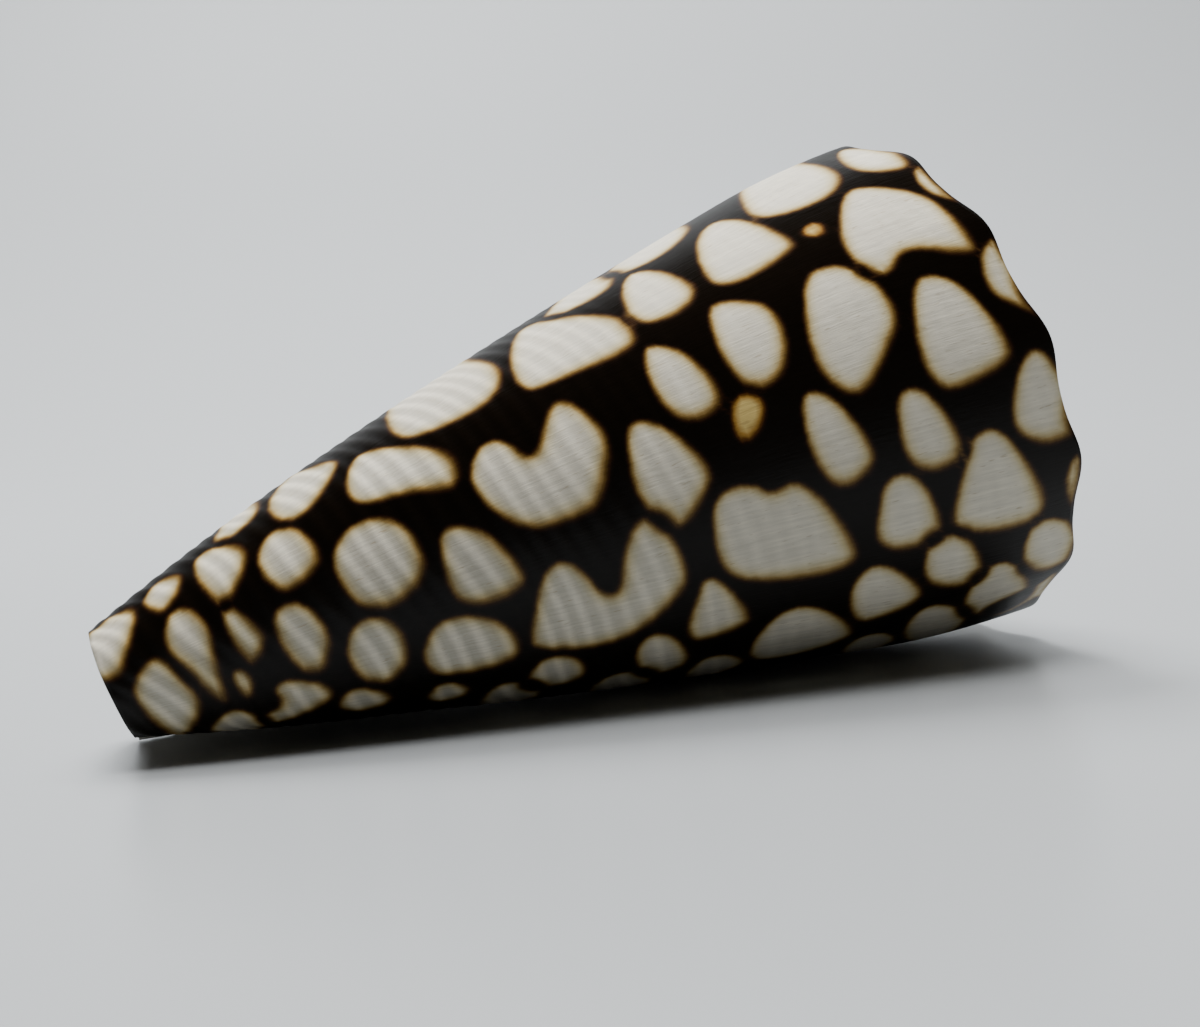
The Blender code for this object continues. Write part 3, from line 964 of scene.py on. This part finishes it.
apex_ring = np.concatenate([ramp_path[-COLUMNS - 1:, -1], ramp_path[-1, ::-1][1:-1]])
apex = apex_ring.mean(axis=0)
apex[:3] = posed(np.array(0.0), np.array(BODY_LENGTH + SPIRE_HEIGHT), np.array(0.0)) + resting_shift
strips += [(apex, a, b) for a, b in zip(apex_ring, np.roll(apex_ring, -1, axis=0))]
print("laced triangles:", len(strips))


# %% Make the laced strips a mesh
def strip_object(name, triangles):
    corners = np.array(triangles).reshape(-1, 3 + len(SKIN_FACTS))
    mesh = bpy.data.meshes.new(name)
    faces = np.arange(len(corners)).reshape(-1, 3)
    mesh.from_pydata((corners[:, :3] * MM).tolist(), [], faces.tolist())
    keep_facts(mesh, corners[:, 3:].T)
    strip = bpy.data.objects.new(name, mesh)
    bpy.context.scene.collection.objects.link(strip)
    return strip


# %% Join the sheets and strips and merge their edges
MERGE_MM = 0.002
bpy.ops.object.select_all(action="DESELECT")
sheets.append(strip_object("strips", strips))
for sheet in sheets:
    sheet.select_set(True)
skin = sheets[0]
bpy.context.view_layer.objects.active = skin
bpy.ops.object.join()
skin.name = "cone_skin"
bpy.ops.object.mode_set(mode="EDIT")
bpy.ops.mesh.select_all(action="SELECT")
bpy.ops.mesh.remove_doubles(threshold=MERGE_MM * MM)
bpy.ops.mesh.dissolve_degenerate(threshold=1e-7)
bpy.ops.mesh.normals_make_consistent(inside=False)
bpy.ops.mesh.select_all(action="DESELECT")
bpy.ops.mesh.select_non_manifold()
bpy.ops.object.mode_set(mode="OBJECT")
open_vertices = sum(1 for vertex in skin.data.vertices if vertex.select)
for polygon in skin.data.polygons:
    polygon.use_smooth = True
triangles = sum(len(polygon.vertices) - 2 for polygon in skin.data.polygons)
print("skin triangles:", triangles, " open vertices:", open_vertices)

# %% [markdown]
# ## The glaze
#
# The outside is polished aragonite, as smooth and glossy as porcelain: white patches, a brown
# pigment that thins out to amber and honey at their edges, and near black between. A colour ramp
# driven by the depth gives the whole sequence at once. Growth lines, short brown dashes and ragged
# edges keep it from looking printed. Handling has dulled the polish, so the gloss is soft.


# %% Colours and nodes
def paint(code):
    """A colour as Blender wants it, from the hex code that a paint program shows."""
    channels = [int(code[k:k + 2], 16) / 255.0 for k in (1, 3, 5)]
    return [c / 12.92 if c <= 0.04045 else ((c + 0.055) / 1.055) ** 2.4 for c in channels] + [1.0]


def add_node(tree, kind, inputs=None, **settings):
    """One node, with its settings, and with values or links for its sockets."""
    made = tree.nodes.new(kind)
    for name, value in settings.items():
        setattr(made, name, value)
    for socket, value in (inputs or {}).items():
        if isinstance(value, bpy.types.NodeSocket):
            tree.links.new(value, made.inputs[socket])
        else:
            made.inputs[socket].default_value = value
    return made


def set_ramp(ramp, stops, interpolation="LINEAR"):
    ramp.color_ramp.interpolation = interpolation
    elements = ramp.color_ramp.elements
    while len(elements) > 1:
        elements.remove(elements[-1])
    elements[0].position = stops[0][0]
    elements[0].color = paint(stops[0][1])
    for position, code in stops[1:]:
        elements.new(position).color = paint(code)


# %% The outside: white patches in dark brown glaze
glaze = bpy.data.materials.new("shell_glazed_aragonite")
glaze.use_nodes = True
tree = glaze.node_tree
tree.nodes.clear()
facts = {name: add_node(tree, "ShaderNodeAttribute", attribute_name=name).outputs["Fac"]
         for name in SKIN_FACTS}
place = add_node(tree, "ShaderNodeTexCoord").outputs["Object"]
print("facts the glaze reads:", len(facts))

# %% A direction that follows the growth lines
# The pattern runs round a circle in millimetres and is drawn out along the side.
GROWTH_RADIUS_MM = 26.0
DRAWN_OUT = 0.09
growth = add_node(tree, "ShaderNodeCombineXYZ", {"X": facts["round_sin"], "Y": facts["round_cos"]})
growth_far = add_node(tree, "ShaderNodeVectorMath", {
    0: growth.outputs[0], 1: (GROWTH_RADIUS_MM, GROWTH_RADIUS_MM, 0.0)}, operation="MULTIPLY")
along_soft = add_node(tree, "ShaderNodeMath", {0: facts["along"], 1: DRAWN_OUT}, operation="MULTIPLY")
growth_along = add_node(tree, "ShaderNodeCombineXYZ", {"Z": along_soft.outputs[0]})
growth_place = add_node(tree, "ShaderNodeVectorMath", {
    0: growth_far.outputs[0], 1: growth_along.outputs[0]}, operation="ADD").outputs[0]

# %% Noises
# Real growth lines are about a tenth of a millimetre apart, too fine to show here, so the drawn
# ones are 0.4 and 0.14 mm apart.
LINES_PER_MM = 2.6
FINE_LINES_PER_MM = 7.0
RAGGED_PER_MM = 0.9
lines = add_node(tree, "ShaderNodeTexNoise", {
    "Vector": growth_place, "Scale": LINES_PER_MM, "Detail": 3.0, "Roughness": 0.6}).outputs["Fac"]
fine_lines = add_node(tree, "ShaderNodeTexNoise", {
    "Vector": growth_place, "Scale": FINE_LINES_PER_MM, "Detail": 2.0, "Roughness": 0.5}).outputs["Fac"]
ragged = add_node(tree, "ShaderNodeTexNoise", {
    "Vector": place, "Scale": RAGGED_PER_MM / MM, "Detail": 3.0, "Roughness": 0.6}).outputs["Fac"]
print("growth lines, mm apart:", round(1.0 / LINES_PER_MM, 2), "and", round(1.0 / FINE_LINES_PER_MM, 2))

# %% Colour by depth
# The brown edge is wider on the side of a patch that faces away from the lip, as growth goes.
RAGGED_EDGE_MM = 0.30
DARK_END_MM = -1.0
WHITE_END_MM = 3.0
wobble = add_node(tree, "ShaderNodeMath", {0: ragged, 1: 0.5}, operation="SUBTRACT")
wobble_mm = add_node(tree, "ShaderNodeMath", {
    0: wobble.outputs[0], 1: RAGGED_EDGE_MM, 2: facts["white_depth"]}, operation="MULTIPLY_ADD")
narrow = add_node(tree, "ShaderNodeMapRange", {"Value": facts["warmth"], "To Min": 1.35, "To Max": 0.75})
depth_scaled = add_node(tree, "ShaderNodeMath", {0: wobble_mm.outputs[0], 1: narrow.outputs[0]},
                        operation="MULTIPLY")
depth_share = add_node(tree, "ShaderNodeMapRange", {
    "Value": depth_scaled.outputs[0], "From Min": DARK_END_MM, "From Max": WHITE_END_MM})
white_ramp = add_node(tree, "ShaderNodeValToRGB", {"Fac": depth_share.outputs[0]})
set_ramp(white_ramp, (
    (0.205, "#0a0603"), (0.243, "#130a05"), (0.287, "#2e1c0d"), (0.335, "#5b4420"), (0.390, "#8e7546"),
    (0.455, "#b5a57c"), (0.545, "#c6bc9f"), (0.660, "#cdc6b3"), (0.840, "#cfc9b9")))
honey_ramp = add_node(tree, "ShaderNodeValToRGB", {"Fac": depth_share.outputs[0]})
set_ramp(honey_ramp, (
    (0.205, "#0b0704"), (0.255, "#1c0f06"), (0.310, "#4e3010"), (0.370, "#8d6a30"), (0.50, "#c0a868")))
marked = add_node(tree, "ShaderNodeMix", {"Factor": facts["honey"], 6: white_ramp.outputs["Color"],
                                          7: honey_ramp.outputs["Color"]}, data_type="RGBA")

# %% Growth lines and cords in the colour
# The grooves between the cords are darker, most of all on the narrow half: partly their own
# browner tone, partly painted shade that deepens the relief of the cords.
CORDS_FADE_FROM_MM = 30.0
CORDS_FADE_TO_MM = 62.0
GROOVE_TONE_AND_SHADE = 0.33
GROOVE_TONE_AND_SHADE_SHOULDER = 0.04
line_shade = add_node(tree, "ShaderNodeMapRange", {"Value": lines, "From Min": 0.35, "From Max": 0.65,
                                                   "To Min": 0.88, "To Max": 1.05})
# Painted shade: the colour is darkened in the grooves beyond their own tone, to stand in for the shade of
# the cord relief.
cord_shade = add_node(tree, "ShaderNodeMapRange", {
    "Value": facts["cord"], "From Min": 0.1, "From Max": 0.9})
cord_strength = add_node(tree, "ShaderNodeMapRange", {
    "Value": facts["along"], "From Min": CORDS_FADE_FROM_MM, "From Max": CORDS_FADE_TO_MM,
    "To Min": GROOVE_TONE_AND_SHADE, "To Max": GROOVE_TONE_AND_SHADE_SHOULDER})
cord_dim = add_node(tree, "ShaderNodeMath", {0: cord_shade.outputs[0], 1: cord_strength.outputs[0]},
                    operation="MULTIPLY")
cord_base = add_node(tree, "ShaderNodeMath", {0: 1.03, 1: cord_strength.outputs[0]}, operation="SUBTRACT")
cord_tone_and_shade = add_node(tree, "ShaderNodeMath", {0: cord_base.outputs[0], 1: cord_dim.outputs[0]},
                     operation="ADD")
shade = add_node(tree, "ShaderNodeMath", {0: line_shade.outputs[0], 1: cord_tone_and_shade.outputs[0]},
                 operation="MULTIPLY")
shaded = add_node(tree, "ShaderNodeVectorMath", {0: marked.outputs[2], "Scale": shade.outputs[0]},
                  operation="SCALE")

# %% Short brown dashes in the whites, along the growth lines
DASH_SQUASH = (1.7, 1.7, 4.0)
DASHES_PER_MM = 2.4
DASH_STRENGTH = 0.40
dash_squash = add_node(tree, "ShaderNodeVectorMath", {0: growth_place, 1: DASH_SQUASH},
                       operation="MULTIPLY")
dash_noise = add_node(tree, "ShaderNodeTexNoise", {
    "Vector": dash_squash.outputs[0], "Scale": DASHES_PER_MM, "Detail": 1.0}).outputs["Fac"]
dash_mask = add_node(tree, "ShaderNodeMapRange", {
    "Value": dash_noise, "From Min": 0.66, "From Max": 0.76, "To Max": DASH_STRENGTH})
dash_white = add_node(tree, "ShaderNodeMapRange", {
    "Value": facts["white_depth"], "From Min": 0.3, "From Max": 1.0})
dash_amount = add_node(tree, "ShaderNodeMath", {0: dash_mask.outputs[0], 1: dash_white.outputs[0]},
                       operation="MULTIPLY")
dashed = add_node(tree, "ShaderNodeMix", {"Factor": dash_amount.outputs[0], 6: shaded.outputs[0],
                                          7: paint("#86704a")}, data_type="RGBA")
bare = add_node(tree, "ShaderNodeMix", {"Factor": facts["inside"], 6: dashed.outputs[2],
                                        7: paint("#dcd9d2")}, data_type="RGBA")

# %% Relief and gloss
LINE_RELIEF_MM = 0.10
relief = add_node(tree, "ShaderNodeMath", {0: lines, 1: fine_lines}, operation="ADD")
bump = add_node(tree, "ShaderNodeBump", {
    "Height": relief.outputs[0], "Strength": 0.25, "Distance": LINE_RELIEF_MM * MM})
surface = add_node(tree, "ShaderNodeBsdfPrincipled", {
    "Base Color": bare.outputs[2], "Normal": bump.outputs[0], "Roughness": 0.40,
    "Specular IOR Level": 0.10, "Coat Weight": 0.04, "Coat Roughness": 0.14})
add_node(tree, "ShaderNodeOutputMaterial", {"Surface": surface.outputs[0]})
skin.data.materials.clear()
skin.data.materials.append(glaze)
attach(skin, "root")
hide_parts("shell")
print("glaze nodes:", len(tree.nodes))

# %% [markdown]
# ## A plain table and soft light
#
# The shell lies on a pale, slightly glossy table that curves up behind it, so there is no horizon.
# One soft light hangs over the shell and one behind it, which leaves the lower half in its own
# shadow and draws that shadow towards the camera. A third lights the back, and a dim sky fills in.

# %% Floor with a curved back
FLOOR_HALF_WIDTH = 1.4
FLOOR_FRONT = -0.9
BEND_START = 0.30
BEND_RADIUS = 0.35
BACK_HEIGHT = 0.9
BEND_STEPS = 24
bend = np.linspace(0.0, math.pi / 2.0, BEND_STEPS + 1)
profile_y = np.concatenate([
    [FLOOR_FRONT], BEND_START + BEND_RADIUS * np.sin(bend), [BEND_START + BEND_RADIUS]])
profile_z = np.concatenate([[0.0], BEND_RADIUS * (1.0 - np.cos(bend)), [BACK_HEIGHT]])
bpy.ops.object.select_all(action="DESELECT")
bpy.ops.mesh.primitive_grid_add(x_subdivisions=1, y_subdivisions=len(profile_y) - 1, size=1.0)
floor = bpy.context.object
floor.name = "floor"
turn_to_view = Matrix.Rotation(-CAMERA_YAW, 4, "Z")
for vertex in floor.data.vertices:
    row = int(round((vertex.co.y + 0.5) * (len(profile_y) - 1)))
    vertex.co = turn_to_view @ Vector((
        math.copysign(FLOOR_HALF_WIDTH, vertex.co.x), profile_y[row], profile_z[row]))
for polygon in floor.data.polygons:
    polygon.use_smooth = True
# Pale matt laminate with a faint shine.
table = bpy.data.materials.new("pale_table")
table.use_nodes = True
table_surface = table.node_tree.nodes["Principled BSDF"]
table_surface.inputs["Base Color"].default_value = paint("#9b9ea0")
table_surface.inputs["Roughness"].default_value = 0.30
floor.data.materials.append(table)
print("floor, m wide:", 2.0 * FLOOR_HALF_WIDTH, " high at the back:", BACK_HEIGHT)


# %% Lights
def soft_light(name, place, size, power, aim=(0.0, 0.0, 0.02)):
    lamp = bpy.data.lights.new(name, "AREA")
    lamp.shape = "RECTANGLE"
    lamp.size = size[0]
    lamp.size_y = size[1]
    lamp.energy = power
    light = bpy.data.objects.new(name, lamp)
    light.location = place
    light.visible_glossy = False
    light.rotation_euler = (Vector(aim) - Vector(place)).to_track_quat("-Z", "Y").to_euler()
    bpy.context.scene.collection.objects.link(light)
    return light


soft_light("behind", (-0.04, 0.42, 0.70), (0.40, 0.30), 10.8)
soft_light("top", (-0.04, -0.04, 0.82), (0.40, 0.30), 9.4)
soft_light("backdrop", (0.10, 0.28, 0.95), (0.9, 0.3), 11.2, aim=(0.30, 0.65, 0.22))
world = bpy.data.worlds.new("room")
world.use_nodes = True
world.node_tree.nodes["Background"].inputs["Color"].default_value = paint("#d2ccbc")
world.node_tree.nodes["Background"].inputs["Strength"].default_value = 0.08
bpy.context.scene.world = world
